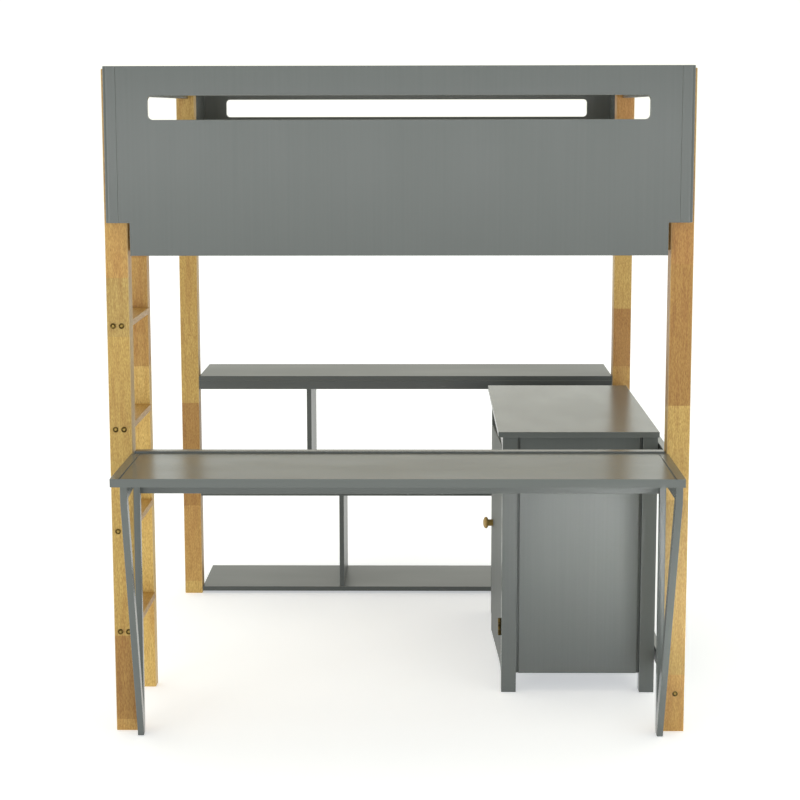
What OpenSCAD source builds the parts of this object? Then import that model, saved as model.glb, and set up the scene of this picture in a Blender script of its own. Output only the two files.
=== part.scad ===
// Full-size loft bed with a desk across its foot, a bookcase, a low cabinet and a ladder.
// Millimetres. +Z is up, +X is the bed's right side, -Y is the desk end.
// Lengths along Y are counted from the front posts' front faces, and in_place() centres the whole bed.

/* [Bed frame] */
// Width over the outside of the posts
bed_w = 1450; // [1200:10:1700]
// Height of the end panels above the floor
bed_h = 1674; // [1640:2:1760]
// Side of a square post
post = 57; // [50:1:70]
// Height of the posts
post_h = 1668; // [1640:2:1672]
// Front face of the back posts, from the front face of the front posts
back_post_y = 1516; // [1440:4:1700]
// Inner face of the back end panel, from the front face of the front posts
back_panel_y = 1985; // [1900:5:2100]
// Thickness of an end panel
panel_t = 20; // [16:1:24]
// Thickness of a side board
side_t = 22; // [18:1:26]

/* [End panels] */
// Underside of the panel's shoulders, which stand in front of the posts
shoulder_z = 1295; // [1280:5:1310]
// Underside of the tab, which hangs between the posts
tab_z = 1215; // [1200:5:1240]
// Half width of the tab
tab_half = 660; // [500:5:662]
// Half width of the slot
slot_half = 611; // [400:5:640]
// Underside of the slot
slot_z0 = 1545; // [1500:5:1560]
// Top of the slot
slot_z1 = 1603; // [1590:1:1625]
// Width of an end batten
batten_w = 32; // [24:1:40]

/* [Ladder] */
// Front face of the second upright
upright_y = 403; // [360:1:460]
// Width of the second upright, across the bed
upright_w = 49; // [40:1:57]
// Depth of the second upright, along the bed
upright_d = 40; // [30:1:57]
// Distance between rungs, and from the floor to the first
rung_pitch = 260; // [220:5:280]
// Width of a rung's tread
rung_w = 52; // [40:1:57]
// Thickness of a rung
rung_t = 16; // [14:1:30]

/* [Desk] */
// Top of the desk
desk_z = 720; // [680:5:760]
// Thickness of the desk top
desk_t = 20; // [16:1:26]
// Half width of the desk in front of the posts
desk_half = 671; // [640:1:700]
// Front edge of the desk
desk_y0 = -364; // [-500:2:-300]
// Back edge of the desk
desk_y1 = 36; // [20:1:50]
// Height of the lip along the back edge
lip_h = 4; // [2:0.5:8]
// Thickness of the bars of the desk's legs
leg_t = 16; // [14:1:24]
// Turn of the left leg about its rear bar, in degrees
left_leg_turn = 2.8; // [0:0.1:3]

/* [Bookcase] */
// Depth of the shelves
shelf_d = 320; // [240:5:400]
// Thickness of the shelves and dividers
shelf_t = 15; // [12:1:20]
// Underside of the middle shelf
middle_z = 326; // [280:2:380]
// Underside of the bottom shelf
bottom_z = 8; // [6:1:20]
// Middle of the divider between the two upper bays
upper_divider_x = -313; // [-400:1:200]
// Middle of the divider between the two lower bays
lower_divider_x = -209; // [-400:1:200]

/* [Cabinet] */
// Left edge of the cabinet's top, which overhangs the door
cabinet_x0 = 260; // [200:2:300]
// Right edge of the cabinet's top
cabinet_x1 = 690; // [640:1:690]
// Near edge of the cabinet's top
cabinet_y0 = 346; // [300:2:400]
// Far edge of the cabinet's top
cabinet_y1 = 1288; // [1200:2:1400]
// Side of a cabinet leg
cabinet_leg = 40; // [34:1:46]
// Width of the door
door_w = 398; // [360:1:420]
// Thickness of the door
door_t = 16; // [14:1:18]
// Angle at which the door stands ajar at rest
door_ajar = 2; // [0:0.5:4]

/* [Hidden] */

wood = "burlywood";
paint = "slategray";
steel = "silver";
$fn = 32;

// Frame
half_w = bed_w / 2;
post_in = half_w - post;
rail_x0 = 687;
rail_xm = rail_x0 + side_t / 2;
batten_out = half_w - 5.5;
edge_r = 12;
slot_r = 12;
mid_y = (back_panel_y + panel_t + desk_y0) / 2;
cut = 1;

// Side boards, from the underside up
side_top = 1520;
sill_top = 1345;
top_rail_z = 1604;
deck_z = 1275;
slat_t = 18;
slat_w = 70;
slat_count = 12;
slat_inset = 25;
bearer_w = 25;
bearer_h = 50;
bearer_y0 = 20;
beam_w = 40;

// Bolts and barrel nuts
bolt_r = 3;
bolt_play = 0.2;
head_r = 6;
face_head_r = 7;
head_h = 2.5;
seat_d = 6;
bolt_bite = 45;
nut_r = 5;
nut_l = 16;
nut_in = 34;
bolt_zs = [1315, 1480, 1639];
panel_bolt_x = 677;
panel_bolt_zs = [1340, 1625];
panel_bite = 12;
rung_bolt_dx = 10.5;
rung_x = -half_w + rung_w / 2;

// Desk
notch_y = -4;
tongue_half = 664;
lip_d = 30;
groove_x = 650;
groove_w = 3;
groove_t = 1.2;
groove_r = 35;
desk_rail_t = 18;
desk_rail_z = 614;
leg_x0 = 651.5;
leg_front_y = -346;
leg_kink_z = 660;
leg_rail_z = 664;
leg_foot_y0 = -52;
leg_foot_y1 = -6;
leg_play = 0.4;
leg_back_y = desk_y1 - desk_rail_t - leg_play;
leg_front_bar = 37;
leg_back_bar = 28;
leg_chamfer_y = 8;
leg_chamfer_z = 24;

// Rails on the right side
right_rail_x0 = 692;
right_rail_t = 18;
stretcher_z = 100;
stretcher_h = 40;
side_rail_top = 683;
side_rail_h = 60;

// Bookcase
apron_h = 28;

// Cabinet
case_x0 = cabinet_x0 + 12;
case_x1 = cabinet_x1 - 3;
case_y0 = cabinet_y0 + 10;
case_y1 = cabinet_y1 - 10;
case_t = 15;
case_top = desk_z - case_t;
case_bottom = 51;
floor_z = 45;
door_z0 = 62;
door_z1 = 671;
front_rail_z = 673;
front_rail_t = 18;
panel_recess = 10;
shadow_w = 7;
shadow_t = 6;
partition_t = 16;
inside_shelf_z = 375;
leg_in_y0 = case_y0 + cabinet_leg;
leg_in_y1 = case_y1 - cabinet_leg;
door_gap = 2;
partition_y = leg_in_y0 + door_gap + door_w + door_gap;

// Door hinges: the pin stands just outside the door's face, in the gap beside the leg
pin_x = case_x0 - 4.5;
pin_y = leg_in_y0 + door_gap / 2;
pin_r = 2;
knuckle_r = 4;
knuckle_play = 0.05;
leaf_t = 0.9;
leaf_w = 18;
leaf_reach = 2.1;
knuckle_h = 16;
knuckle_gap = 0.5;
hinge_zs = [150, 560];

// Knob
knob_y = 752;
knob_z = 392;
knob_r = 17;

// ---- helpers ----

// Moves the bed so that the middle of its length stands over the origin
module in_place() {
    translate([0, -mid_y, 0])
        children();
}

// A rectangular board between two corners
module board(lo, hi) {
    translate(lo)
        cube(hi - lo);
}

// Mirrors a right-hand piece to the left when s is -1
module on_side(s) {
    mirror([s < 0 ? 1 : 0, 0, 0])
        children();
}

// A cylinder along +Y from a point
module rod_y(at, r, length) {
    translate(at)
        rotate([-90, 0, 0])
            cylinder(r = r, h = length);
}

// A cylinder along +X from a point
module rod_x(at, r, length) {
    translate(at)
        rotate([0, 90, 0])
            cylinder(r = r, h = length);
}

// ---- bolts ----
// Each entry is [x, front face of the post, post depth, z] for a joint that clamps a side board.

headed_joints = concat(
    [for (z = bolt_zs) [rail_xm, 0, post, z]],
    [[-rail_xm, 0, post, bolt_zs[0]]],
    [for (z = [bolt_zs[1], bolt_zs[2]]) [-rail_xm, upright_y, upright_d, z]]
);
stud_joints = concat(
    [for (s = [-1, 1], z = bolt_zs) [s * rail_xm, back_post_y, post, z]],
    [[-rail_xm, upright_y, upright_d, bolt_zs[0]]]
);

module headed_bolt(j, extra) {
    rod_y([j[0], j[1] + seat_d - head_h - extra * seat_d, j[3]], head_r + extra, head_h + extra * seat_d);
    rod_y([j[0], j[1] + seat_d, j[3]], bolt_r + extra, j[2] - seat_d + bolt_bite);
}

module stud(j, extra) {
    rod_y([j[0], j[1] - bolt_bite, j[3]], bolt_r + extra, j[2] + 2 * bolt_bite);
}

module panel_bolt(s, z, extra) {
    rod_y([s * panel_bolt_x, -panel_bite, z], bolt_r + extra, post + panel_bite);
    rod_y([s * panel_bolt_x, post, z], head_r + extra, head_h);
}

module nut_at(x, y, z, extra) {
    rod_x([(x < 0 ? -rail_x0 - side_t / 2 - nut_l / 2 : rail_x0 + side_t / 2 - nut_l / 2), y, z],
          nut_r + extra, nut_l);
}

module nut_bore_at(x, y, z) {
    rod_x([(x < 0 ? -rail_xm - nut_l / 2 - bolt_play : rail_x0 - cut), y, z],
          nut_r + bolt_play, nut_l / 2 + side_t / 2 + cut + bolt_play);
}

module every_nut(bore = false) {
    for (j = headed_joints)
        if (bore) nut_bore_at(j[0], j[1] + j[2] + nut_in, j[3]);
        else nut_at(j[0], j[1] + j[2] + nut_in, j[3], 0);
    for (j = stud_joints, y = [j[1] - nut_in, j[1] + j[2] + nut_in])
        if (bore) nut_bore_at(j[0], y, j[3]);
        else nut_at(j[0], y, j[3], 0);
}

module frame_bolt_shapes(extra) {
    for (j = headed_joints)
        headed_bolt(j, extra);
    for (j = stud_joints)
        stud(j, extra);
    for (s = [-1, 1], z = panel_bolt_zs)
        panel_bolt(s, z, extra);
}

// Bolts that show: two at each end of every rung, one at each end of the low stretcher
module face_bolt(x, y, z, out, length, extra) {
    rod_y([x, out < 0 ? y - head_h : y, z], face_head_r + extra, head_h);
    rod_y([x, out < 0 ? y : y - length, z], bolt_r + extra, length);
}

module face_bolt_shapes(extra) {
    for (i = [1 : 4], dx = [-rung_bolt_dx, rung_bolt_dx]) {
        face_bolt(rung_x + dx, 0, i * rung_pitch, -1, post + bolt_bite, extra);
        face_bolt(rung_x + dx, upright_y + upright_d, i * rung_pitch, 1, upright_d + bolt_bite, extra);
    }
    face_bolt(right_rail_x0 + right_rail_t / 2, 0, stretcher_z, -1, post + bolt_bite, extra);
    face_bolt(right_rail_x0 + right_rail_t / 2, back_post_y + post, stretcher_z, 1,
              post + bolt_bite, extra);
}

// A piece with the bolt holes that cross it
module drilled() {
    difference() {
        children();
        frame_bolt_shapes(bolt_play);
        face_bolt_shapes(bolt_play);
    }
}

// A side board with its bolt holes and barrel-nut bores
module drilled_board() {
    difference() {
        drilled()
            children();
        every_nut(bore = true);
    }
}

// ---- posts and ladder ----

module frame_post(s, y) {
    drilled()
        on_side(s)
            board([post_in, y, 0], [half_w, y + post, post_h]);
}

module rung(i) {
    drilled()
        board([-half_w, post, i * rung_pitch - rung_t / 2],
              [-half_w + rung_w, upright_y, i * rung_pitch + rung_t / 2]);
}

module post_front_left() { color(wood) in_place() frame_post(-1, 0); }
module post_front_right() { color(wood) in_place() frame_post(1, 0); }
module post_back_left() { color(wood) in_place() frame_post(-1, back_post_y); }
module post_back_right() { color(wood) in_place() frame_post(1, back_post_y); }

module ladder_upright() {
    color(wood)
        in_place()
            drilled()
                board([-half_w, upright_y, 0], [-half_w + upright_w, upright_y + upright_d, post_h]);
}

module rung_1() { color(wood) in_place() rung(1); }
module rung_2() { color(wood) in_place() rung(2); }
module rung_3() { color(wood) in_place() rung(3); }
module rung_4() { color(wood) in_place() rung(4); }

// ---- end panels ----

// The slot's corners are round
module slot_cut(y) {
    x = slot_half;
    board([-x + slot_r, y - cut, slot_z0], [x - slot_r, y + panel_t + cut, slot_z1]);
    board([-x, y - cut, slot_z0 + slot_r], [x, y + panel_t + cut, slot_z1 - slot_r]);
    for (sx = [-x + slot_r, x - slot_r], sz = [slot_z0 + slot_r, slot_z1 - slot_r])
        rod_y([sx, y - cut, sz], slot_r, panel_t + 2 * cut);
}

module end_panel(y) {
    x = batten_out - batten_w;
    drilled()
        difference() {
            union() {
                board([-x, y, shoulder_z], [x, y + panel_t, bed_h]);
                board([-tab_half, y, tab_z], [tab_half, y + panel_t, shoulder_z + cut]);
            }
            slot_cut(y);
        }
}

// A batten along the panel's end, with its outer show edge rounded
module batten(s, y, show_y) {
    inward = show_y < y + panel_t / 2 ? 1 : -1;
    on_side(s)
        difference() {
            board([batten_out - batten_w, y, shoulder_z], [batten_out, y + panel_t, bed_h]);
            difference() {
                translate([batten_out - edge_r, show_y - (inward > 0 ? cut : edge_r), shoulder_z - cut])
                    cube([edge_r + cut, edge_r + cut, bed_h]);
                translate([batten_out - edge_r, show_y + inward * edge_r, shoulder_z - 2 * cut])
                    cylinder(r = edge_r, h = bed_h + 2 * cut);
            }
        }
}

module end_panel_front() { color(paint) in_place() end_panel(-panel_t); }
module batten_front_left() { color(paint) in_place() batten(-1, -panel_t, -panel_t); }
module batten_front_right() { color(paint) in_place() batten(1, -panel_t, -panel_t); }
module end_panel_back() { color(paint) in_place() end_panel(back_panel_y); }
module batten_back_left() {
    color(paint) in_place() batten(-1, back_panel_y, back_panel_y + panel_t);
}
module batten_back_right() {
    color(paint) in_place() batten(1, back_panel_y, back_panel_y + panel_t);
}

// ---- side boards ----

module side_board(s, y0, y1, z0, z1) {
    drilled_board()
        on_side(s)
            board([rail_x0, y0, z0], [rail_x0 + side_t, y1, z1]);
}

module side_panel_left() {
    color(paint) in_place() side_board(-1, upright_y + upright_d, back_post_y, tab_z, side_top);
}
module side_panel_right() { color(paint) in_place() side_board(1, post, back_post_y, tab_z, side_top); }
module top_rail_left() {
    color(paint) in_place() side_board(-1, upright_y + upright_d, back_post_y, top_rail_z, bed_h);
}
module top_rail_right() { color(paint) in_place() side_board(1, post, back_post_y, top_rail_z, bed_h); }
module entry_sill() { color(paint) in_place() side_board(-1, post, upright_y, tab_z, sill_top); }
module far_side_left() {
    color(paint) in_place() side_board(-1, back_post_y + post, back_panel_y, tab_z, bed_h);
}
module far_side_right() {
    color(paint) in_place() side_board(1, back_post_y + post, back_panel_y, tab_z, bed_h);
}

// ---- slats ----

module slat_bearer(s) {
    on_side(s)
        board([post_in - bearer_w, bearer_y0, deck_z - bearer_h], [post_in, back_panel_y, deck_z]);
}

module slat_bearer_left() { color(wood) in_place() slat_bearer(-1); }
module slat_bearer_right() { color(wood) in_place() slat_bearer(1); }

module centre_beam() {
    color(wood)
        in_place()
            board([-beam_w / 2, 0, deck_z - bearer_h], [beam_w / 2, back_panel_y, deck_z]);
}

module slats() {
    step = (back_panel_y - slat_w - 2 * slat_inset) / (slat_count - 1);
    color(wood)
        in_place()
            for (i = [0 : slat_count - 1])
                translate([-post_in, slat_inset + i * step, deck_z])
                    cube([2 * post_in, slat_w, slat_t]);
}

// ---- desk ----

// A shallow groove runs along each end of the desk and turns in at the back
module desk_groove() {
    z0 = desk_z - groove_t;
    yc = desk_y1 - lip_d - groove_r;
    board([groove_x - groove_w, desk_y0 - cut, z0], [groove_x, yc, desk_z + cut]);
    intersection() {
        translate([groove_x - groove_r, yc, z0])
            difference() {
                cylinder(r = groove_r, h = groove_t + cut);
                translate([0, 0, -cut])
                    cylinder(r = groove_r - groove_w, h = groove_t + 3 * cut);
            }
        board([groove_x - groove_r, yc, z0 - cut], [groove_x + cut, desk_y1 - lip_d, desk_z + 2 * cut]);
    }
}

module desk_top() {
    color(paint)
        in_place()
            difference() {
                union() {
                    board([-desk_half, desk_y0, desk_z - desk_t], [desk_half, notch_y, desk_z]);
                    board([-tongue_half, notch_y - cut, desk_z - desk_t], [tongue_half, desk_y1, desk_z]);
                    board([-tongue_half, desk_y1 - lip_d, desk_z - cut],
                          [tongue_half, desk_y1, desk_z + lip_h]);
                }
                desk_groove();
                on_side(-1)
                    desk_groove();
            }
}

module desk_back_rail() {
    color(paint)
        in_place()
            board([-post_in + cut, desk_y1 - desk_rail_t, desk_rail_z],
                  [post_in - cut, desk_y1, desk_z - desk_t]);
}

// Front and back faces of the leg frame, as straight lines down to the foot
function leg_front(z) =
    leg_front_y + (leg_foot_y0 - leg_front_y) * (leg_kink_z - z) / (leg_kink_z - leg_chamfer_z);
function leg_back(z) =
    leg_back_y + (leg_foot_y1 - leg_back_y) * (leg_rail_z - z) / (leg_rail_z - leg_chamfer_z);
// Width of the open triangle between the two bars
function leg_gap(z) = leg_back(z) - leg_back_bar - leg_front(z) - leg_front_bar;
leg_apex_z = leg_rail_z - leg_gap(leg_rail_z) * leg_rail_z / (leg_gap(leg_rail_z) - leg_gap(0));

module leg_frame(s) {
    top = desk_z - desk_t;
    on_side(s)
        translate([leg_x0, 0, 0])
            rotate([90, 0, 90])
                linear_extrude(height = leg_t)
                    difference() {
                        polygon([
                            [leg_front_y, top],
                            [leg_front_y, leg_kink_z],
                            [leg_foot_y0, leg_chamfer_z],
                            [leg_foot_y0 + leg_chamfer_y, 0],
                            [leg_foot_y1 - leg_chamfer_y, 0],
                            [leg_foot_y1, leg_chamfer_z],
                            [leg_back_y, leg_rail_z],
                            [leg_back_y, top]
                        ]);
                        polygon([
                            [leg_front(leg_rail_z) + leg_front_bar, leg_rail_z],
                            [leg_front(leg_apex_z) + leg_front_bar, leg_apex_z],
                            [leg_back(leg_rail_z) - leg_back_bar, leg_rail_z]
                        ]);
                    }
}

module desk_leg_left() {
    pivot = [-leg_x0 - leg_t / 2, leg_back_y - leg_t / 2, 0];
    color(paint)
        in_place()
            translate(pivot)
                rotate([0, 0, left_leg_turn])
                    translate(-pivot)
                        leg_frame(-1);
}

module desk_leg_right() { color(paint) in_place() leg_frame(1); }

module low_stretcher() {
    color(paint)
        in_place()
            drilled()
                board([right_rail_x0, post, stretcher_z - stretcher_h / 2],
                      [right_rail_x0 + right_rail_t, back_post_y, stretcher_z + stretcher_h / 2]);
}

module desk_side_rail() {
    color(paint)
        in_place()
            board([right_rail_x0, post, side_rail_top - side_rail_h],
                  [right_rail_x0 + right_rail_t, back_post_y, side_rail_top]);
}

// ---- bookcase ----

module shelf(z) {
    board([-post_in + cut, back_post_y, z], [post_in - cut, back_post_y + shelf_d, z + shelf_t]);
}

module bookcase_top() { color(paint) in_place() shelf(desk_z - shelf_t); }
module bookcase_middle() { color(paint) in_place() shelf(middle_z); }
module bookcase_bottom() { color(paint) in_place() shelf(bottom_z); }

module bookcase_apron() {
    color(paint)
        in_place()
            board([-post_in + cut, back_post_y, desk_z - shelf_t - apron_h],
                  [post_in - cut, back_post_y + shelf_t, desk_z - shelf_t]);
}

module bookcase_divider_upper() {
    color(paint)
        in_place()
            board([upper_divider_x - shelf_t / 2, back_post_y + shelf_t, middle_z + shelf_t],
                  [upper_divider_x + shelf_t / 2, back_post_y + shelf_d, desk_z - shelf_t]);
}

module bookcase_divider_lower() {
    color(paint)
        in_place()
            board([lower_divider_x - shelf_t / 2, back_post_y, bottom_z + shelf_t],
                  [lower_divider_x + shelf_t / 2, back_post_y + shelf_d, middle_z]);
}

// ---- cabinet ----

module cabinet_top() {
    color(paint)
        in_place()
            board([cabinet_x0, cabinet_y0, case_top], [cabinet_x1, cabinet_y1, desk_z]);
}

module cabinet_leg_at(x, y) {
    board([x, y, 0], [x + cabinet_leg, y + cabinet_leg, case_top]);
}

module cabinet_leg_near_left() { color(paint) in_place() cabinet_leg_at(case_x0, case_y0); }
module cabinet_leg_near_right() {
    color(paint) in_place() cabinet_leg_at(case_x1 - cabinet_leg, case_y0);
}
module cabinet_leg_far_left() { color(paint) in_place() cabinet_leg_at(case_x0, leg_in_y1); }
module cabinet_leg_far_right() {
    color(paint) in_place() cabinet_leg_at(case_x1 - cabinet_leg, leg_in_y1);
}

// An end panel between two legs, with a shadow groove beside each leg
module case_end(y, face_y) {
    x0 = case_x0 + cabinet_leg;
    x1 = case_x1 - cabinet_leg;
    difference() {
        board([x0, y, case_bottom], [x1, y + case_t, case_top]);
        for (x = [x0 - cut, x1 - shadow_w])
            translate([x, face_y - shadow_t, case_bottom - cut])
                cube([shadow_w + cut, 2 * shadow_t, case_top]);
    }
}

module cabinet_side_near() {
    color(paint) in_place() case_end(case_y0 + panel_recess, case_y0 + panel_recess);
}
module cabinet_side_far() {
    y = case_y1 - panel_recess - case_t;
    color(paint) in_place() case_end(y, y + case_t);
}

module cabinet_back() {
    color(paint)
        in_place()
            board([case_x1 - case_t, leg_in_y0, case_bottom], [case_x1, leg_in_y1, case_top]);
}

module cabinet_floor() {
    color(paint)
        in_place()
            board([case_x0, leg_in_y0, floor_z], [case_x1 - case_t, leg_in_y1, floor_z + case_t]);
}

module cabinet_partition() {
    color(paint)
        in_place()
            difference() {
                board([case_x0, partition_y, floor_z + case_t],
                      [case_x1 - case_t, partition_y + partition_t, case_top]);
                board([case_x0 - cut, partition_y - cut, front_rail_z],
                      [case_x0 + front_rail_t, partition_y + partition_t + cut, case_top + cut]);
            }
}

module cabinet_front_rail() {
    color(paint)
        in_place()
            board([case_x0, leg_in_y0, front_rail_z], [case_x0 + front_rail_t, leg_in_y1, case_top]);
}

module cabinet_shelf_closed() {
    color(paint)
        in_place()
            board([case_x0 + 2 * front_rail_t, leg_in_y0, inside_shelf_z],
                  [case_x1 - case_t, partition_y, inside_shelf_z + case_t]);
}

module cabinet_shelf_open() {
    color(paint)
        in_place()
            board([case_x0, partition_y + partition_t, inside_shelf_z],
                  [case_x1 - case_t, leg_in_y1, inside_shelf_z + case_t]);
}

// ---- door and its hinges ----

// Turns what belongs to the door from closed to its resting angle
module ajar() {
    translate([pin_x, pin_y, 0])
        rotate([0, 0, door_ajar])
            translate([-pin_x, -pin_y, 0])
                children();
}

module cabinet_door() {
    y = leg_in_y0 + door_gap;
    color(paint)
        in_place()
            ajar()
                board([case_x0, y, door_z0], [case_x0 + door_t, y + door_w, door_z1]);
}

// A turned knob: a waisted stem and a round head
module door_knob() {
    stem_r = 9.5;
    waist_l = 13;
    head_l = 15;
    color(wood)
        in_place()
            ajar()
                translate([case_x0, knob_y, knob_z])
                    rotate([0, -90, 0]) {
                        cylinder(r = stem_r, h = waist_l);
                        translate([0, 0, waist_l])
                            intersection() {
                                cylinder(r = knob_r, h = head_l);
                                translate([0, 0, head_l / 2])
                                    sphere(r = knob_r + 1);
                            }
                    }
}

// One leaf's flat plate and its arms, which reach the knuckles from z list ks
module leaf(y0, zs, ks) {
    for (z = zs) {
        translate([case_x0, y0, z])
            cube([leaf_w, leaf_t, 3 * knuckle_h]);
        for (k = ks)
            difference() {
                union() {
                    translate([pin_x, pin_y, z + k * knuckle_h + knuckle_gap / 2])
                        cylinder(r = knuckle_r, h = knuckle_h - knuckle_gap);
                    translate([pin_x + leaf_reach, y0, z + k * knuckle_h + knuckle_gap / 2])
                        cube([case_x0 - pin_x - leaf_reach + cut, leaf_t, knuckle_h - knuckle_gap]);
                }
                translate([pin_x, pin_y, z + k * knuckle_h - cut])
                    cylinder(r = pin_r + (len(ks) == 1 ? knuckle_play : 0), h = knuckle_h + 2 * cut);
            }
    }
}

module hinge_leaves_leg() {
    color(steel) in_place() leaf(leg_in_y0, hinge_zs, [0, 2]);
}
module hinge_leaves_door() {
    color(steel) in_place() ajar() leaf(leg_in_y0 + door_gap - leaf_t, hinge_zs, [1]);
}

module hinge_pins() {
    color(steel)
        in_place()
            for (z = hinge_zs)
                translate([pin_x, pin_y, z])
                    cylinder(r = pin_r, h = 3 * knuckle_h);
}

// A magnetic catch on the partition, just behind the closed door
module door_catch() {
    color("dimgray")
        in_place()
            board([case_x0 + door_t + 1, partition_y - 14, 600], [case_x0 + door_t + 19, partition_y, 640]);
}

// ---- fasteners ----

module face_bolts() { color(steel) in_place() face_bolt_shapes(0); }
module frame_bolts() { color(steel) in_place() frame_bolt_shapes(0); }

module barrel_nuts() {
    color(steel)
        in_place()
            difference() {
                every_nut();
                frame_bolt_shapes(0);
            }
}

post_front_left();
post_front_right();
post_back_left();
post_back_right();
ladder_upright();
rung_1();
rung_2();
rung_3();
rung_4();
end_panel_front();
batten_front_left();
batten_front_right();
end_panel_back();
batten_back_left();
batten_back_right();
side_panel_left();
side_panel_right();
top_rail_left();
top_rail_right();
entry_sill();
far_side_left();
far_side_right();
slat_bearer_left();
slat_bearer_right();
centre_beam();
slats();
desk_top();
desk_back_rail();
desk_leg_left();
desk_leg_right();
low_stretcher();
desk_side_rail();
bookcase_top();
bookcase_apron();
bookcase_middle();
bookcase_bottom();
bookcase_divider_upper();
bookcase_divider_lower();
cabinet_top();
cabinet_leg_near_left();
cabinet_leg_near_right();
cabinet_leg_far_left();
cabinet_leg_far_right();
cabinet_side_near();
cabinet_side_far();
cabinet_back();
cabinet_floor();
cabinet_partition();
cabinet_shelf_closed();
cabinet_shelf_open();
cabinet_front_rail();
cabinet_door();
door_knob();
hinge_leaves_leg();
hinge_leaves_door();
hinge_pins();
door_catch();
face_bolts();
frame_bolts();
barrel_nuts();
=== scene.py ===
# %% [markdown]
# # A loft bed with a desk, a bookcase and a cupboard
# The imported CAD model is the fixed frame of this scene. Every size and place comes from it. Blender adds
# what the CAD leaves out: eased edges, real bolt heads, lacquer, wood and metal, light and a camera.

# %% Load the frame
import math

import bmesh
import bpy
from mathutils import Matrix, Vector


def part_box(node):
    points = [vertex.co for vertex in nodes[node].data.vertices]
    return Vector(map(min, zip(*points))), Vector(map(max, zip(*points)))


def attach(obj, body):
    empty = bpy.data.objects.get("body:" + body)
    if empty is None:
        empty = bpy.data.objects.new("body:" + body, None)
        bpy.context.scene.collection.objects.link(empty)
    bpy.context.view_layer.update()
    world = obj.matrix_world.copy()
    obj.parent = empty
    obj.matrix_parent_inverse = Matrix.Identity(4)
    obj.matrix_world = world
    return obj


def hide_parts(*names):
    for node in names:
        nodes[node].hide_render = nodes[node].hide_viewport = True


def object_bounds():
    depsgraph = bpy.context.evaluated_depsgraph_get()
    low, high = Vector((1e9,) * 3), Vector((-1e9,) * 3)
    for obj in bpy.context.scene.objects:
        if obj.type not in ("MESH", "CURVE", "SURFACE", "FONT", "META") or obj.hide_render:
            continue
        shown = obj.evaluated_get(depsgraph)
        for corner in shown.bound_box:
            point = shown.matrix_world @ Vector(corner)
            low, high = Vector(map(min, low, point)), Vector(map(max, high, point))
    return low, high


MM = 0.001
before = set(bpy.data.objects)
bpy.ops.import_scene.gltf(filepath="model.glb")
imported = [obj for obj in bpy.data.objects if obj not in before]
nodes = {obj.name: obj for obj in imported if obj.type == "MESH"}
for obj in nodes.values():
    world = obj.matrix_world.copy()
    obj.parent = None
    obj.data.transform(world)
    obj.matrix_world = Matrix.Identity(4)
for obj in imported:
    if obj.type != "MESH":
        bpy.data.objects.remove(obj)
cad_low, cad_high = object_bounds()
print("CAD box, metres:", tuple(cad_low), tuple(cad_high))

# %% [markdown]
# ## The camera
# The bed is seen from straight in front, from about the height of the top rail, so the tops of the desk
# and the shelves show as thin bands. A long lens keeps the posts nearly upright. The lens is fixed by its
# focal length, and a small upward shift frames the whole bed while the camera looks a little down.

# %% Make the camera
SENSOR = 36.0
FOCAL = 92.41
CAMERA_PLACE = Vector((0.0678, -5.8876, 1.5672))
PITCH_DOWN = 0.1626
YAW = 0.0130
ROLL = -0.0017
LENS_SHIFT = 0.0589

camera_data = bpy.data.cameras.new("studio_camera")
camera = bpy.data.objects.new("studio_camera", camera_data)
bpy.context.scene.collection.objects.link(camera)
camera_data.sensor_width = SENSOR
camera_data.lens = FOCAL
camera_data.shift_y = LENS_SHIFT
camera_data.clip_end = 100.0
aim = Matrix.Rotation(YAW, 4, "Z") @ Matrix.Rotation(math.pi / 2 - PITCH_DOWN, 4, "X")
aim = aim @ Matrix.Rotation(ROLL, 4, "Z")
camera.matrix_world = Matrix.Translation(CAMERA_PLACE) @ aim
bpy.context.scene.camera = camera
bed_middle = (cad_low + cad_high) / 2
print("camera is", round((CAMERA_PLACE - bed_middle).length, 2), "m from the middle of the bed")

# %% [markdown]
# ## Colours and nodes
# Colours are written as the sRGB hex values that a paint or stain chart gives. Shaders work in linear
# light, so one function turns them over. A second small function adds a shader node, sets it and links
# it, which keeps each material short enough to read as a recipe.


# %% Two helpers for materials
def linear(hex_colour):
    """An sRGB hex colour as linear red, green, blue and alpha."""
    parts = [int(hex_colour[i:i + 2], 16) / 255 for i in (1, 3, 5)]
    return tuple(p / 12.92 if p <= 0.04045 else ((p + 0.055) / 1.055) ** 2.4 for p in parts) + (1.0,)


def add(tree, kind, links=(), stops=None, **settings):
    """Adds a node. links gives its inputs values or other nodes' outputs, in order as a list or by name or
    number as a dictionary. stops are a ramp's places and colours."""
    node = tree.nodes.new("ShaderNode" + kind)
    for name, value in settings.items():
        setattr(node, name, value)
    for socket, source in links.items() if isinstance(links, dict) else enumerate(links):
        if isinstance(source, bpy.types.NodeSocket):
            tree.links.new(source, node.inputs[socket])
        else:
            node.inputs[socket].default_value = source
    if stops:
        ramp = node.color_ramp
        while len(ramp.elements) < len(stops):
            ramp.elements.new(1.0)
        for element, (place, colour) in zip(ramp.elements, stops):
            element.position = place
            element.color = colour
    return node


def new_material(name):
    material = bpy.data.materials.new(name)
    material.use_nodes = True
    material.node_tree.nodes.clear()
    return material, material.node_tree


print("sRGB #808080 is linear", round(linear("#808080")[0], 4))

# %% [markdown]
# ## The way the grain runs
# Grain, brush marks and rubbing-down marks all run along a board. Each pattern below is drawn with its
# long way on Z, so a board that lies along X or Y has its coordinates swapped round first. The
# coordinates are the Object ones, in metres, so a pattern keeps its real size and stays on the piece when
# it moves.


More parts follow.
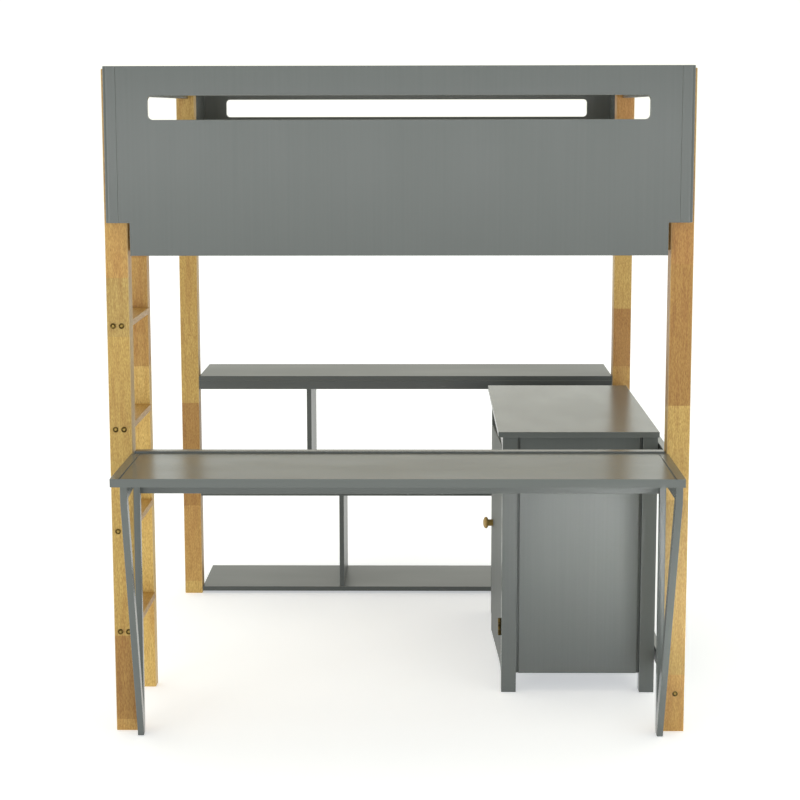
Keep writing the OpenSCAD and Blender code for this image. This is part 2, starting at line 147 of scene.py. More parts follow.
# %% Coordinates that run along a board
def along_board(tree, axis):
    """Object coordinates with the board's long way turned onto Z. Gives the vector and its three parts."""
    place = add(tree, "TexCoord").outputs["Object"]
    parts = add(tree, "SeparateXYZ", {0: place}).outputs
    order = {"X": (1, 2, 0), "Y": (0, 2, 1), "Z": (0, 1, 2)}[axis]
    turned = add(tree, "CombineXYZ", {i: parts[j] for i, j in enumerate(order)}).outputs[0]
    return turned, [parts[j] for j in order]


def stretched_noise(tree, vector, width, length, detail=2.0, shift=0.0):
    """Noise in streaks about width across and length along, both in metres."""
    scaled = add(tree, "Mapping", {
        "Vector": vector,
        "Location": (shift, shift, shift),
        "Scale": (1 / width, 1 / width, 1 / length),
    })
    noise = add(tree, "TexNoise", {"Vector": scaled.outputs[0], "Scale": 1.0, "Detail": detail})
    return noise.outputs["Fac"]


print("grain runs along Z for the posts, Y for the rungs and X for the slats")

# %% [markdown]
# ## Grey satin lacquer on board
# The panels, desk, shelves and cupboard are board with a sprayed polyurethane lacquer, rubbed down
# between coats. That gives the eye an even grey with a soft sheen, faint streaks along the board, a skin
# like fine orange peel, and arrises a shade paler, partly where the film is thinner and partly as a
# painted highlight along the edge.

# %% The lacquer
STREAK_WIDTH = 7 * MM
STREAK_LENGTH = 600 * MM
CLOUD_WIDTH = 160 * MM
CLOUD_LENGTH = 420 * MM
PEEL_WIDTH = 5 * MM         # real peel is about 1 mm and is drawn coarser so that it shows
PEEL_HEIGHT = 0.03 * MM
LACQUER = "#5f6462"
LACQUER_THIN = "#5c615f"
LACQUER_ARRIS = "#6f7470"


def satin_lacquer(name, axis, body=LACQUER, thin=LACQUER_THIN, roughness=(0.23, 0.27)):
    material, tree = new_material(name)
    vector, _ = along_board(tree, axis)
    streaks = stretched_noise(tree, vector, STREAK_WIDTH, STREAK_LENGTH, 3.0)
    clouds = stretched_noise(tree, vector, CLOUD_WIDTH, CLOUD_LENGTH, 2.0)
    peel = stretched_noise(tree, vector, PEEL_WIDTH, PEEL_WIDTH, 1.0)
    film = add(tree, "Math", [streaks, clouds], operation="ADD").outputs[0]
    thickness = add(tree, "MapRange", [film, 0.7, 1.3, 0.0, 1.0]).outputs[0]
    colour = add(tree, "Mix", {0: thickness, 6: linear(thin), 7: linear(body)}, data_type="RGBA").outputs[2]
    arris = add(tree, "Attribute", attribute_name="arris").outputs["Fac"]
    # The arris band is painted a shade paler: partly a thinner film, partly a painted highlight along the
    # edge.
    rubbed_and_highlit = add(tree, "MapRange", [arris, 0.0, 1.0, 0.0, 0.6]).outputs[0]
    colour = add(tree, "Mix", {0: rubbed_and_highlit, 6: colour, 7: linear(LACQUER_ARRIS)}, data_type="RGBA").outputs[2]
    relief = add(tree, "Bump", {"Height": peel, "Distance": PEEL_HEIGHT, "Strength": 0.4}).outputs[0]
    sheen = add(tree, "MapRange", [clouds, 0.35, 0.65, *roughness]).outputs[0]
    shader = add(tree, "BsdfPrincipled", {
        "Base Color": colour,
        "Roughness": sheen,
        "IOR": 1.50,
        "Normal": relief,
    })
    add(tree, "OutputMaterial", {"Surface": shader.outputs[0]})
    return material


lacquer = {axis: satin_lacquer("satin_grey_lacquer_" + axis.lower(), axis) for axis in "XYZ"}
# The bookcase is the same grey paint as the rest. This darker copy of the lacquer is painted shade for its
# place deep under the bed.
BOOKCASE_SHADE_BODY = "#4b504e"
BOOKCASE_SHADE_THIN = "#484d4b"
BOOKCASE_SHEEN = (0.34, 0.38)
lacquer_painted_shade = {}
for axis in "XZ":
    lacquer_painted_shade[axis] = satin_lacquer("shaded_grey_lacquer_" + axis.lower(), axis, BOOKCASE_SHADE_BODY, BOOKCASE_SHADE_THIN, BOOKCASE_SHEEN)
print("lacquer made for boards along", ", ".join(lacquer))

# %% [markdown]
# ## Clear-lacquered hardwood, finger-jointed
# The posts are pale plantation hardwood, glued up end to end from short blocks with machine-cut fingers.
# Each block keeps its own colour, from straw to pinkish brown, so a post changes tone at straight lines
# on its face, and the fingers show as a zigzag on its sides. Each post below lists its blocks from the
# floor up: the height where a block starts, in millimetres, and its colour.

# %% The post wood
TALL = 1700.0               # the ramp of block colours covers this height, in millimetres
FINGER_PITCH = 4.5 * MM
FINGER_LENGTH = 9 * MM
GRAIN_WIDTH = 2.6 * MM
GRAIN_LENGTH = 45 * MM
FLECK_WIDTH = 2.2 * MM
FLECK_LENGTH = 8 * MM
FIGURE_WIDTH = 16 * MM
FIGURE_LENGTH = 180 * MM
PORE_WIDTH = 1.1 * MM       # real pores are about 0.3 mm wide and are drawn coarser so that they show
PORE_LENGTH = 9 * MM
PORE_DEPTH = 0.08 * MM
WANDER = 4 * MM
WANDER_WIDTH = 90 * MM
WANDER_LENGTH = 260 * MM
WOOD_ARRIS = "#e2cfa4"


def clear_hardwood(name, axis, blocks, shift=0.0):
    material, tree = new_material(name)
    vector, parts = along_board(tree, axis)
    # The grain wanders a little from side to side as it runs up the piece
    wander = stretched_noise(tree, vector, WANDER_WIDTH, WANDER_LENGTH, 1.0, shift)
    sideways = [add(tree, "MapRange", [wander, 0, 1, -way, way]).outputs[0] for way in (WANDER, -WANDER)]
    bent = add(tree, "CombineXYZ", sideways).outputs[0]
    moved = add(tree, "VectorMath", [vector, bent], operation="ADD").outputs[0]
    # Each block's colour, changed at a line that zigzags with the fingers
    zigzag = add(tree, "Math", [parts[1], FINGER_PITCH], operation="PINGPONG").outputs[0]
    tooth = add(tree, "MapRange", [zigzag, 0, FINGER_PITCH, 0, FINGER_LENGTH]).outputs[0]
    height = add(tree, "Math", [parts[2], tooth], operation="ADD").outputs[0]
    rise = add(tree, "MapRange", [height, 0, TALL * MM, 0, 1]).outputs[0]
    stops = [(z / TALL, linear(hex_colour)) for z, hex_colour in blocks]
    ramp = add(tree, "ValToRGB", [rise], stops)
    ramp.color_ramp.interpolation = "CONSTANT"
    colour = ramp.outputs[0]
    grain = stretched_noise(tree, moved, GRAIN_WIDTH, GRAIN_LENGTH, 4.0, shift)
    figure = stretched_noise(tree, moved, FIGURE_WIDTH, FIGURE_LENGTH, 3.0, shift + 7)
    pores = stretched_noise(tree, moved, PORE_WIDTH, PORE_LENGTH, 1.0, shift + 3)
    flecks = stretched_noise(tree, moved, FLECK_WIDTH, FLECK_LENGTH, 2.0, shift + 9)
    # Each pattern, where it starts and is full, how much of its stain it lays on, and the stain
    stains = [
        (grain, 0.36, 0.66, 0.5, "#dccab2"),
        (flecks, 0.34, 0.66, 0.8, "#d6c3a6"),
        (figure, 0.50, 0.72, 0.5, "#dcbfa0"),
        (pores, 0.62, 0.72, 0.55, "#b8a084"),
    ]
    for pattern, start, full, most, stain in stains:
        amount = add(tree, "MapRange", [pattern, start, full, 0.0, most]).outputs[0]
        colour = add(tree, "Mix", {0: amount, 6: colour, 7: linear(stain)},
                     data_type="RGBA", blend_type="MULTIPLY").outputs[2]
    # The arris band is painted paler: partly rubbed wood, partly a painted highlight along the edge.
    arris = add(tree, "Attribute", attribute_name="arris").outputs["Fac"]
    pale = add(tree, "Mix", {0: 0.45, 6: colour, 7: linear(WOOD_ARRIS)}, data_type="RGBA").outputs[2]
    rubbed_and_highlit = add(tree, "MapRange", [arris, 0, 1, 0, 0.7]).outputs[0]
    colour = add(tree, "Mix", {0: rubbed_and_highlit, 6: colour, 7: pale}, data_type="RGBA").outputs[2]
    surface = add(tree, "MapRange", [pores, 0.62, 0.72, 1, 0]).outputs[0]
    relief = add(tree, "Bump", {"Height": surface, "Distance": PORE_DEPTH, "Strength": 0.5}).outputs[0]
    sheen = add(tree, "MapRange", [grain, 0.3, 0.7, 0.40, 0.52]).outputs[0]
    shader = add(tree, "BsdfPrincipled", {
        "Base Color": colour,
        "Roughness": sheen,
        "IOR": 1.50,
        "Coat Weight": 0.12,
        "Coat Roughness": 0.40,
        "Normal": relief,
    })
    add(tree, "OutputMaterial", {"Surface": shader.outputs[0]})
    return material


STRAW = "#cdae5c"
PALE_STRAW = "#d6b767"
OLIVE = "#c1a55a"
CREAM = "#e8ca76"
HONEY = "#cba457"
AMBER = "#bc8f47"
TAN = "#b68c41"
ROSE = "#d4a45f"
KNOB_TONE = "#cbb06c"
post_blocks = {
    "post_front_left": [(0, HONEY), (28, TAN), (252, STRAW), (1015, OLIVE), (1161, HONEY)],
    "post_front_right": [(0, HONEY), (150, OLIVE), (602, PALE_STRAW), (838, TAN), (1195, AMBER),
                         (1420, HONEY)],
    "ladder_upright": [(0, CREAM), (890, HONEY), (1185, AMBER), (1430, HONEY)],
    "post_back_left": [(0, PALE_STRAW), (44, HONEY), (295, TAN), (632, STRAW), (1200, AMBER),
                       (1540, PALE_STRAW)],
    "post_back_right": [(0, OLIVE), (320, HONEY), (756, AMBER), (940, PALE_STRAW), (1260, HONEY),
                        (1500, ROSE)],
}
hardwood = {}
for number, (post, blocks) in enumerate(post_blocks.items()):
    hardwood[post] = clear_hardwood("clear_hardwood_" + post, "Z", blocks, shift=5.3 * number)
hardwood["rung"] = clear_hardwood("clear_hardwood_rungs", "Y", [(0, HONEY), (900, STRAW)], shift=31.7)
print("hardwood made for", len(hardwood), "kinds of piece")

# %% [markdown]
# ## Planed pine
# The slats and the beams under them are plain softwood, planed and left bare. It is paler and yellower
# than the posts, with wide growth rings and a dry surface.

# %% The slat wood
RING_WIDTH = 11 * MM
RING_LENGTH = 900 * MM
FIBRE_WIDTH = 1.2 * MM
FIBRE_LENGTH = 60 * MM
FIBRE_HEIGHT = 0.1 * MM
PINE_PALE = "#d9bd88"
PINE_RING = "#c09a5d"
PINE_FIBRE = "#b58f58"


def planed_pine(name, axis, shift=0.0):
    material, tree = new_material(name)
    vector, _ = along_board(tree, axis)
    rings = stretched_noise(tree, vector, RING_WIDTH, RING_LENGTH, 2.0, shift)
    fibres = stretched_noise(tree, vector, FIBRE_WIDTH, FIBRE_LENGTH, 2.0, shift)
    late_wood = add(tree, "MapRange", [rings, 0.38, 0.62, 0, 1]).outputs[0]
    colour = add(tree, "Mix", {0: late_wood, 6: linear(PINE_PALE), 7: linear(PINE_RING)},
                 data_type="RGBA").outputs[2]
    streaky = add(tree, "MapRange", [fibres, 0.45, 0.75, 0, 0.5]).outputs[0]
    colour = add(tree, "Mix", {0: streaky, 6: colour, 7: linear(PINE_FIBRE)}, data_type="RGBA").outputs[2]
    relief = add(tree, "Bump", {"Height": fibres, "Distance": FIBRE_HEIGHT, "Strength": 0.4}).outputs[0]
    dryness = add(tree, "MapRange", [fibres, 0.3, 0.7, 0.62, 0.74]).outputs[0]
    shader = add(tree, "BsdfPrincipled", {
        "Base Color": colour,
        "Roughness": dryness,
        "IOR": 1.50,
        "Normal": relief,
    })
    add(tree, "OutputMaterial", {"Surface": shader.outputs[0]})
    return material


pine = {"X": planed_pine("planed_pine_slats", "X"), "Y": planed_pine("planed_pine_beams", "Y", 4.1)}
print("pine made for slats and beams")

# %% [markdown]
# ## Steel and plastic
# The bolts and hinges that show are steel with an antique bronze plating: dark, with warmer patches where
# a finger has rubbed it. The floor of each bolt's socket is painted the pale warm bronze, partly as
# plating worn by the key and partly as a painted glint. The hidden bolts and nuts are bright zinc plate,
# which is bluish and slightly cloudy. The catch is moulded plastic.


# %% The plated steels and the plastic
SKIN_WIDTH = 1.5 * MM
SKIN_HEIGHT = 0.05 * MM
SKIN_SHADE = "#e8e8e8"
BRONZE_MOTTLE = 6 * MM
ZINC_MOTTLE = 9 * MM


def plated_steel(name, dark, light, mottle, roughness, spread=1.0):
    material, tree = new_material(name)
    place = add(tree, "TexCoord").outputs["Object"]
    cloud = add(tree, "TexNoise", {"Vector": place, "Scale": 1 / mottle, "Detail": 3.0}).outputs["Fac"]
    arris = add(tree, "Attribute", attribute_name="arris").outputs["Fac"]
    patch = add(tree, "MapRange", [cloud, 0.35, 0.65, 0, spread]).outputs[0]
    colour = add(tree, "Mix", {0: patch, 6: linear(dark), 7: linear(light)}, data_type="RGBA").outputs[2]
    # Faces marked as arris, such as the bolts' socket floors, are painted the pale bronze: partly wear,
    # partly a painted glint.
    rubbed_and_highlit = add(tree, "MapRange", [arris, 0, 1, 0, 0.45]).outputs[0]
    colour = add(tree, "Mix", {0: rubbed_and_highlit, 6: colour, 7: linear(light)}, data_type="RGBA").outputs[2]
    sheen = add(tree, "MapRange", [cloud, 0.3, 0.7, *roughness]).outputs[0]
    shader = add(tree, "BsdfPrincipled", {
        "Base Color": colour,
        "Metallic": 1.0,
        "Roughness": sheen,
    })
    add(tree, "OutputMaterial", {"Surface": shader.outputs[0]})
    return material


def moulded_plastic(name, hex_colour):
    material, tree = new_material(name)
    place = add(tree, "TexCoord").outputs["Object"]
    skin = add(tree, "TexNoise", {"Vector": place, "Scale": 1 / SKIN_WIDTH, "Detail": 2.0}).outputs["Fac"]
    colour = add(tree, "Mix", {0: skin, 6: linear(hex_colour), 7: linear(SKIN_SHADE)},
                 data_type="RGBA", blend_type="MULTIPLY").outputs[2]
    relief = add(tree, "Bump", {"Height": skin, "Distance": SKIN_HEIGHT, "Strength": 0.5}).outputs[0]
    sheen = add(tree, "MapRange", [skin, 0.3, 0.7, 0.42, 0.55]).outputs[0]
    shader = add(tree, "BsdfPrincipled", {
        "Base Color": colour,
        "Roughness": sheen,
        "IOR": 1.53,
        "Normal": relief,
    })
    add(tree, "OutputMaterial", {"Surface": shader.outputs[0]})
    return material


bronze = plated_steel("bronze_plated_steel", "#30240f", "#c8aa63", BRONZE_MOTTLE, (0.30, 0.42), spread=0.25)
zinc = plated_steel("zinc_plated_steel", "#a9adb0", "#c9ccce", ZINC_MOTTLE, (0.26, 0.40))
plastic = moulded_plastic("moulded_plastic_catch", "#d8d8d2")
print("steel and plastic made")

# %% [markdown]
# ## Eased copies of the boards and posts
# No real board has a knife edge. The maker runs sandpaper or a small round-over cutter along each arris,
# and that thin band is what catches the light. A copy of the CAD piece is merged, its flat faces are
# joined up, and the long sharp edges are bevelled. Rims of drilled holes are left crisp. The new band is
# marked with a face attribute, so the materials can paint it a shade paler: partly wear, partly a painted
# highlight along the edge.

# %% The easing helper
MERGE = 0.002 * MM
SHARP = math.radians(28)
SEED_LENGTH = 9 * MM
FOLLOW = math.radians(25)
FLAT = math.radians(0.4)
CREASE = math.radians(50)
FULL_WEIGHT = 100


def long_sharp_edges(bm):
    """Sharp edges that are long, and the short ones that carry on smoothly from them, as round a corner."""
    sharp = {e for e in bm.edges if len(e.link_faces) == 2 and e.calc_face_angle(0.0) > SHARP}
    chosen = {e for e in sharp if e.calc_length() > SEED_LENGTH}
    waiting = list(chosen)
    while waiting:
        edge = waiting.pop()
        way = (edge.verts[1].co - edge.verts[0].co).normalized()
        for vert in edge.verts:
            for other in vert.link_edges:
                if other in sharp and other not in chosen:
                    turn = (other.verts[1].co - other.verts[0].co).angle(way, 0.0)
                    if min(turn, math.pi - turn) < FOLLOW:
                        chosen.add(other)
                        waiting.append(other)
    return list(chosen)


def eased(name, ease, material, body="frame"):
    """A copy of a CAD node with its long edges rounded by ease, in metres, which stands for that node."""
    bm = bmesh.new()
    bm.from_mesh(nodes[name].data)
    bmesh.ops.remove_doubles(bm, verts=bm.verts, dist=MERGE)
    bmesh.ops.dissolve_limit(bm, angle_limit=FLAT, verts=bm.verts, edges=bm.edges)
    marks = bm.faces.layers.float.new("arris")
    edges = long_sharp_edges(bm)
    made = bmesh.ops.bevel(bm, geom=edges, offset=ease, offset_type="OFFSET", affect="EDGES", segments=2,
                           profile=0.5, material=-1, clamp_overlap=True)
    # The bevel band is marked here; the materials paint it paler, partly as wear and partly as a painted
    # highlight.
    for face in made["faces"]:
        face[marks] = 1.0
    for face in bm.faces:
        face.smooth = True
    mesh = bpy.data.meshes.new(name + "_eased")
    bm.to_mesh(mesh)
    bm.free()
    mesh.set_sharp_from_angle(angle=CREASE)
    mesh.materials.append(material)
    piece = bpy.data.objects.new(name + "_eased", mesh)
    bpy.context.scene.collection.objects.link(piece)
    even = piece.modifiers.new("even_flats", "WEIGHTED_NORMAL")
    even.weight = FULL_WEIGHT
    even.keep_sharp = True
    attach(piece, body)
    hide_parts(name)
    return piece


print("edges over", SEED_LENGTH / MM, "mm long are eased")

# %% [markdown]
# ## Posts, ladder upright and rungs
# The posts have a round-over of about two millimetres, the rungs a little less.

# %% Ease the hardwood
POST_EASE = 2.0 * MM
RUNG_EASE = 1.5 * MM
RUNGS = 4
wood_pieces = [eased(post, POST_EASE, hardwood[post]) for post in post_blocks]
for i in range(1, RUNGS + 1):
    wood_pieces.append(eased("rung_%d" % i, RUNG_EASE, hardwood["rung"]))
print(len(wood_pieces), "hardwood pieces")

# %% [markdown]
# ## Painted boards
# Each board is listed under the way its long side runs, and all their edges are eased by the same
# amount.

# %% Ease the painted boards
boards = {
    "Z": [
        "end_panel_front", "end_panel_back", "batten_front_left", "batten_front_right",
        "batten_back_left", "batten_back_right", "desk_leg_left", "desk_leg_right",
        "bookcase_divider_upper", "bookcase_divider_lower", "cabinet_leg_near_left",
        "cabinet_leg_near_right", "cabinet_leg_far_left", "cabinet_leg_far_right",
        "cabinet_side_near", "cabinet_side_far", "cabinet_back", "cabinet_partition",
    ],
    "X": [
        "desk_top", "desk_back_rail", "bookcase_top", "bookcase_apron", "bookcase_middle",
        "bookcase_bottom",
    ],
    "Y": [
        "side_panel_left", "side_panel_right", "top_rail_left", "top_rail_right", "entry_sill",
        "far_side_left", "far_side_right", "low_stretcher", "desk_side_rail", "cabinet_top",
        "cabinet_floor", "cabinet_shelf_closed", "cabinet_shelf_open", "cabinet_front_rail",
    ],
}
BOARD_EASE = 1.2 * MM
painted = []
for axis, names in boards.items():
    for name in names:
        # The bookcase boards take the darker copy of the lacquer, which is painted shade.
        coat = lacquer_painted_shade[axis] if name.startswith("bookcase") else lacquer[axis]
        painted.append(eased(name, BOARD_EASE, coat))
door_lacquer = satin_lacquer("flat_grey_lacquer_door", "Z", roughness=(0.50, 0.54))
painted.append(eased("cabinet_door", BOARD_EASE, door_lacquer, "door"))
print(len(painted), "painted pieces")

# %% [markdown]
# ## Slats and beams
# Sawn and planed softwood keeps a slightly softer arris than the painted boards.

# %% Ease the pine
SLAT_EASE = 2.0 * MM
BEAM_EASE = 1.5 * MM
pine_pieces = [eased("slats", SLAT_EASE, pine["X"])]
for name in ("slat_bearer_left", "slat_bearer_right", "centre_beam"):
    pine_pieces.append(eased(name, BEAM_EASE, pine["Y"]))
print(len(pine_pieces), "pine pieces")

# %% [markdown]
# ## Bolt heads
# Each rung is held by two connector bolts at each end. The head is a low cap with a rounded rim and a
# hexagon socket. It starts as a short capped cone with equal ends, the rim is bevelled, the top is inset
# and pushed in to make the socket, and the underside is inset and drawn out to make the shank.

# %% Model the bolts that show
HEAD_R = 7 * MM
SHANK_R = 3 * MM
SOCKET_R = 3.4 * MM
SOCKET_DEEP = 1.1 * MM
SOCKET_TAPER = 0.15 * MM
HEAD_RIM = 0.7 * MM
BITE = 45 * MM
ROUND = 24
BOLT_CREASE = math.radians(40)
bolt_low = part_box("face_bolts")[0]
post_low, post_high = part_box("post_front_left")
upright_low, upright_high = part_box("ladder_upright")
HEAD_H = post_low.y - bolt_low.y
print("a bolt head stands", round(HEAD_H / MM, 2), "mm proud")


def add_bolt(bm, at, outward, length):
    """Adds one bolt to bm. at is the middle of the head's seat, and the head faces outward, -1 or 1 on Y."""
    bolt = bmesh.new()
    bmesh.ops.create_cone(bolt, cap_ends=True, segments=ROUND, radius1=HEAD_R, radius2=HEAD_R, depth=HEAD_H)
    bmesh.ops.translate(bolt, verts=bolt.verts, vec=(0, 0, HEAD_H / 2))
    marks = bolt.faces.layers.float.new("arris")
    top = max(bolt.faces, key=lambda f: f.calc_center_median().z)
    bmesh.ops.bevel(bolt, geom=list(top.edges), offset=HEAD_RIM, offset_type="OFFSET", affect="EDGES",
                    segments=3, profile=0.5, material=-1)
    top = max(bolt.faces, key=lambda f: (f.calc_center_median().z, f.calc_area()))
    bmesh.ops.inset_region(bolt, faces=[top], thickness=HEAD_R - HEAD_RIM - SOCKET_R, use_even_offset=True)
    # The inset loop is a circle, so its corners are drawn in onto a hexagon
    for vert in top.verts:
        turn = math.atan2(vert.co.y, vert.co.x) % (math.pi / 3) - math.pi / 6
        reach = SOCKET_R * math.cos(math.pi / 6) / math.cos(turn)
        flat = Vector((vert.co.x, vert.co.y, 0)).normalized() * reach
        vert.co.x, vert.co.y = flat.x, flat.y
    bmesh.ops.inset_region(bolt, faces=[top], thickness=SOCKET_TAPER, depth=-SOCKET_DEEP,
                           use_even_offset=True)
    # The socket floor is marked so the bronze paints it pale: partly the key's rubbing, partly a painted
    # glint.
    top[marks] = 1.0
    base = min(bolt.faces, key=lambda f: f.calc_center_median().z)
    bmesh.ops.inset_region(bolt, faces=[base], thickness=HEAD_R - SHANK_R, use_even_offset=True)
    drawn = bmesh.ops.extrude_face_region(bolt, geom=[base] + list(base.edges))
    tip = [g for g in drawn["geom"] if isinstance(g, bmesh.types.BMVert)]
    bmesh.ops.translate(bolt, verts=tip, vec=(0, 0, -length))
    assert all(edge.is_manifold for edge in bolt.edges)
    turn = Matrix.Rotation(math.radians(90 if outward < 0 else -90), 4, "X")
    bmesh.ops.transform(bolt, matrix=Matrix.Translation(at) @ turn, verts=bolt.verts)
    spare = bpy.data.meshes.new("bolt")
    bolt.to_mesh(spare)
    bolt.free()
    bm.from_mesh(spare)
    bpy.data.meshes.remove(spare)


bm = bmesh.new()
bm.faces.layers.float.new("arris")
post_depth = post_high.y - post_low.y
upright_depth = upright_high.y - upright_low.y
BOLT_DX = 10.5 * MM
count = 0
for i in range(1, RUNGS + 1):
    rung_low, rung_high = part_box("rung_%d" % i)
    middle = (rung_low + rung_high) / 2
    for dx in (-BOLT_DX, BOLT_DX):
        add_bolt(bm, Vector((middle.x + dx, post_low.y, middle.z)), -1, post_depth + BITE)
        add_bolt(bm, Vector((middle.x + dx, upright_high.y, middle.z)), 1, upright_depth + BITE)
        count += 2
rail_low, rail_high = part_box("low_stretcher")
rail_middle = (rail_low + rail_high) / 2
back_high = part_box("post_back_right")[1]
add_bolt(bm, Vector((rail_middle.x, post_low.y, rail_middle.z)), -1, post_depth + BITE)
add_bolt(bm, Vector((rail_middle.x, back_high.y, rail_middle.z)), 1, post_depth + BITE)
for face in bm.faces:
    face.smooth = True
mesh = bpy.data.meshes.new("connector_bolts")
bm.to_mesh(mesh)
bm.free()
mesh.set_sharp_from_angle(angle=BOLT_CREASE)
mesh.materials.append(bronze)
bolts = bpy.data.objects.new("connector_bolts", mesh)
bpy.context.scene.collection.objects.link(bolts)
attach(bolts, "frame")
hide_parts("face_bolts")
print(count + 2, "connector bolts,", len(mesh.polygons), "faces")

# %% [markdown]
# ## The door knob
# The knob is turned on a lathe from the same pale hardwood. Its outline runs out along a straight neck
# and round the ellipse of its head to the crown. It is spun through a full circle about the knob's own
# axis, which is what a lathe does.

# %% Turn the knob
NECK_R = 9.5 * MM
HEAD_RADIUS = 17 * MM
HEAD_HALF = 8.3 * MM         # the head is an ellipse this far each way along the knob's axis
KNOB_LENGTH = 28 * MM
ARC_STEPS = 14
start = math.asin(NECK_R / HEAD_RADIUS)
knob_outline = [(0, 0), (0, NECK_R)]
for step in range(ARC_STEPS):
    swing = start + (math.pi - start) * step / ARC_STEPS
    out = KNOB_LENGTH - HEAD_HALF - HEAD_HALF * math.cos(swing)
    knob_outline.append((out, HEAD_RADIUS * math.sin(swing)))
knob_outline.append((KNOB_LENGTH, 0))
KNOB_STEPS = 48
knob_low, knob_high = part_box("door_knob")
knob_middle = (knob_low + knob_high) / 2
AJAR = math.radians(2.0)     # the door's angle at rest
outward = Vector((-math.cos(AJAR), -math.sin(AJAR), 0.0))
reach = [v.co.dot(outward) for v in nodes["door_knob"].data.vertices]
base = knob_middle + outward * (min(reach) - knob_middle.dot(outward))

bm = bmesh.new()
outline = [bm.verts.new((radius, 0, out)) for out, radius in knob_outline]
outline_edges = [bm.edges.new(pair) for pair in zip(outline, outline[1:])]
bmesh.ops.spin(bm, geom=outline + outline_edges, cent=(0, 0, 0), axis=(0, 0, 1), angle=2 * math.pi,
               steps=KNOB_STEPS, use_merge=True)
bmesh.ops.remove_doubles(bm, verts=bm.verts, dist=0.01 * MM)
bmesh.ops.recalc_face_normals(bm, faces=bm.faces)
stand = outward.to_track_quat("Z", "Y").to_matrix().to_4x4()
bmesh.ops.transform(bm, matrix=Matrix.Translation(base) @ stand, verts=bm.verts)
for face in bm.faces:
    face.smooth = True
mesh = bpy.data.meshes.new("turned_knob")
bm.to_mesh(mesh)
bm.free()
knob_wood = clear_hardwood("turned_hardwood_knob", "X", [(0, KNOB_TONE), (850, KNOB_TONE)], shift=12.9)
mesh.materials.append(knob_wood)
knob = bpy.data.objects.new("turned_knob", mesh)
bpy.context.scene.collection.objects.link(knob)
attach(knob, "door")
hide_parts("door_knob")
print("the knob stands", round((max(reach) - min(reach)) / MM, 1), "mm out from the door")

# %% [markdown]
# ## Materials for the parts that keep their CAD shape
# Hinges, hidden bolts and the catch are already the right shape, so they only need their materials.

# %% Put materials on the CAD nodes
kept = {
    "hinge_leaves_leg": bronze,
    "hinge_leaves_door": bronze,
    "hinge_pins": bronze,
    "frame_bolts": zinc,
    "barrel_nuts": zinc,
    "door_catch": plastic,
}
for name, material in kept.items():
    slots = nodes[name].material_slots
    if not slots:
        nodes[name].data.materials.append(material)
    for held in nodes[name].material_slots:
        held.material = material
print(len(kept), "CAD nodes have new materials")

# %% [markdown]
# ## Floor and light
# The bed stands on a pale matt floor. White walls behind it, soft boxes on both sides, high and low, and
# a long strip in front give the even light of a furniture studio: the tops pick up the bright wall at a
# low angle, and faces that look forward and sit deep under the bed stay darker. The bookcase's shade is
# also painted into its darker lacquer. One small narrow light reaches the cupboard.

# %% The floor
FLOOR_HALF = 30.0
bm = bmesh.new()
bmesh.ops.create_grid(bm, x_segments=1, y_segments=1, size=FLOOR_HALF)
mesh = bpy.data.meshes.new("studio_floor")
bm.to_mesh(mesh)
bm.free()
floor = bpy.data.objects.new("studio_floor", mesh)
bpy.context.scene.collection.objects.link(floor)
material, tree = new_material("matt_white_floor")
place = add(tree, "TexCoord").outputs["Object"]
cloud = add(tree, "TexNoise", {"Vector": place, "Scale": 0.8, "Detail": 2.0}).outputs["Fac"]
WHITE = linear("#f8f8f7")
OFF_WHITE = linear("#f4f4f2")
colour = add(tree, "Mix", {0: cloud, 6: OFF_WHITE, 7: WHITE}, data_type="RGBA").outputs[2]
shader = add(tree, "BsdfPrincipled", {
    "Base Color": colour,
    "Roughness": 0.9,
    "Specular IOR Level": 0.1,
    "Emission Color": (0.94, 0.96, 1.0, 1.0),
    "Emission Strength": 0.46,
})
add(tree, "OutputMaterial", {"Surface": shader.outputs[0]})
mesh.materials.append(material)
print("floor", 2 * FLOOR_HALF, "m across")

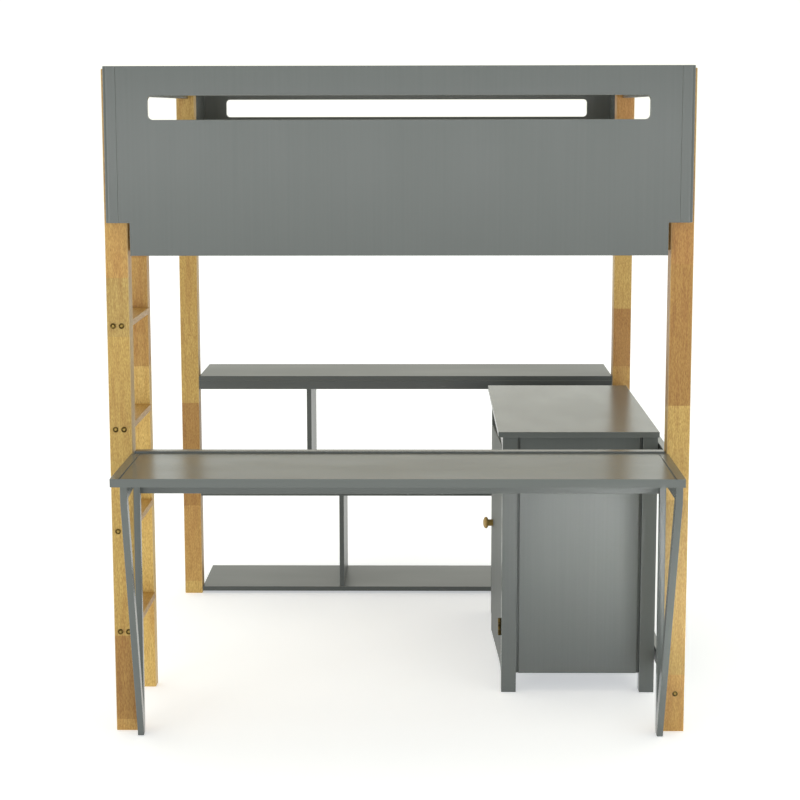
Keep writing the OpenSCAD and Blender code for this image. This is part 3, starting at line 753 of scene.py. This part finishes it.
# %% The light
DARK_WALL = (0.32, 0.32, 0.32, 1)
BRIGHT_WALL = (1.10, 1.11, 1.01, 1)
world = bpy.data.worlds.new("studio_walls")
bpy.context.scene.world = world
world.use_nodes = True
tree = world.node_tree
tree.nodes.clear()
direction = add(tree, "SeparateXYZ", [add(tree, "TexCoord").outputs["Generated"]]).outputs
behind = add(tree, "MapRange", [direction[1], 0.0, 0.5, 0, 1]).outputs[0]
overhead = add(tree, "MapRange", [direction[2], 0.3, 0.9, 0, 0.75]).outputs[0]
bright = add(tree, "Math", [behind, overhead], operation="MAXIMUM").outputs[0]
walls = add(tree, "Mix", {0: bright, 6: DARK_WALL, 7: BRIGHT_WALL}, data_type="RGBA").outputs[2]
sky = add(tree, "Background", {"Color": walls, "Strength": 1.0})
add(tree, "OutputWorld", {"Surface": sky.outputs[0]})


def softbox(name, place, aim_at, width, height, watts, spread=180):
    """A rectangular area light at place that faces aim_at and spreads over an angle in degrees."""
    lamp = bpy.data.lights.new(name, "AREA")
    lamp.shape = "RECTANGLE"
    lamp.size = width
    lamp.size_y = height
    lamp.energy = watts
    lamp.spread = math.radians(spread)
    box = bpy.data.objects.new(name, lamp)
    box.location = place
    box.rotation_euler = (Vector(aim_at) - Vector(place)).to_track_quat("-Z", "Y").to_euler()
    box.visible_camera = False
    bpy.context.scene.collection.objects.link(box)
    return box


# Each light's name, place, aim, width, height, watts and, for a narrow one, spread
lights = [
    ("softbox_left", (-3.0, -4.2, 3.0), (0, -0.6, 0.9), 1.6, 1.6, 12),
    ("softbox_right", (3.2, -4.0, 3.0), (0, -0.6, 0.9), 1.6, 1.6, 10),
    ("strip_in_front", (0.0, -6.4, 1.40), (0, -0.8, 1.40), 4.4, 0.35, 30),
    ("cupboard_light", (0.75, -3.6, 0.30), (0.58, -0.45, 0.33), 0.4, 0.3, 0.30, 14),
    ("low_softbox_left", (-5.0, -8.0, 1.1), (0, 0.4, 0.6), 2.4, 1.8, 82),
    ("low_softbox_right", (5.0, -8.0, 1.1), (0, 0.4, 0.6), 2.4, 1.8, 70),
]
for light in lights:
    softbox(*light)
bpy.context.scene.view_settings.view_transform = "Standard"
bpy.context.scene.view_settings.look = "None"
print(len(lights), "lights and the studio walls")
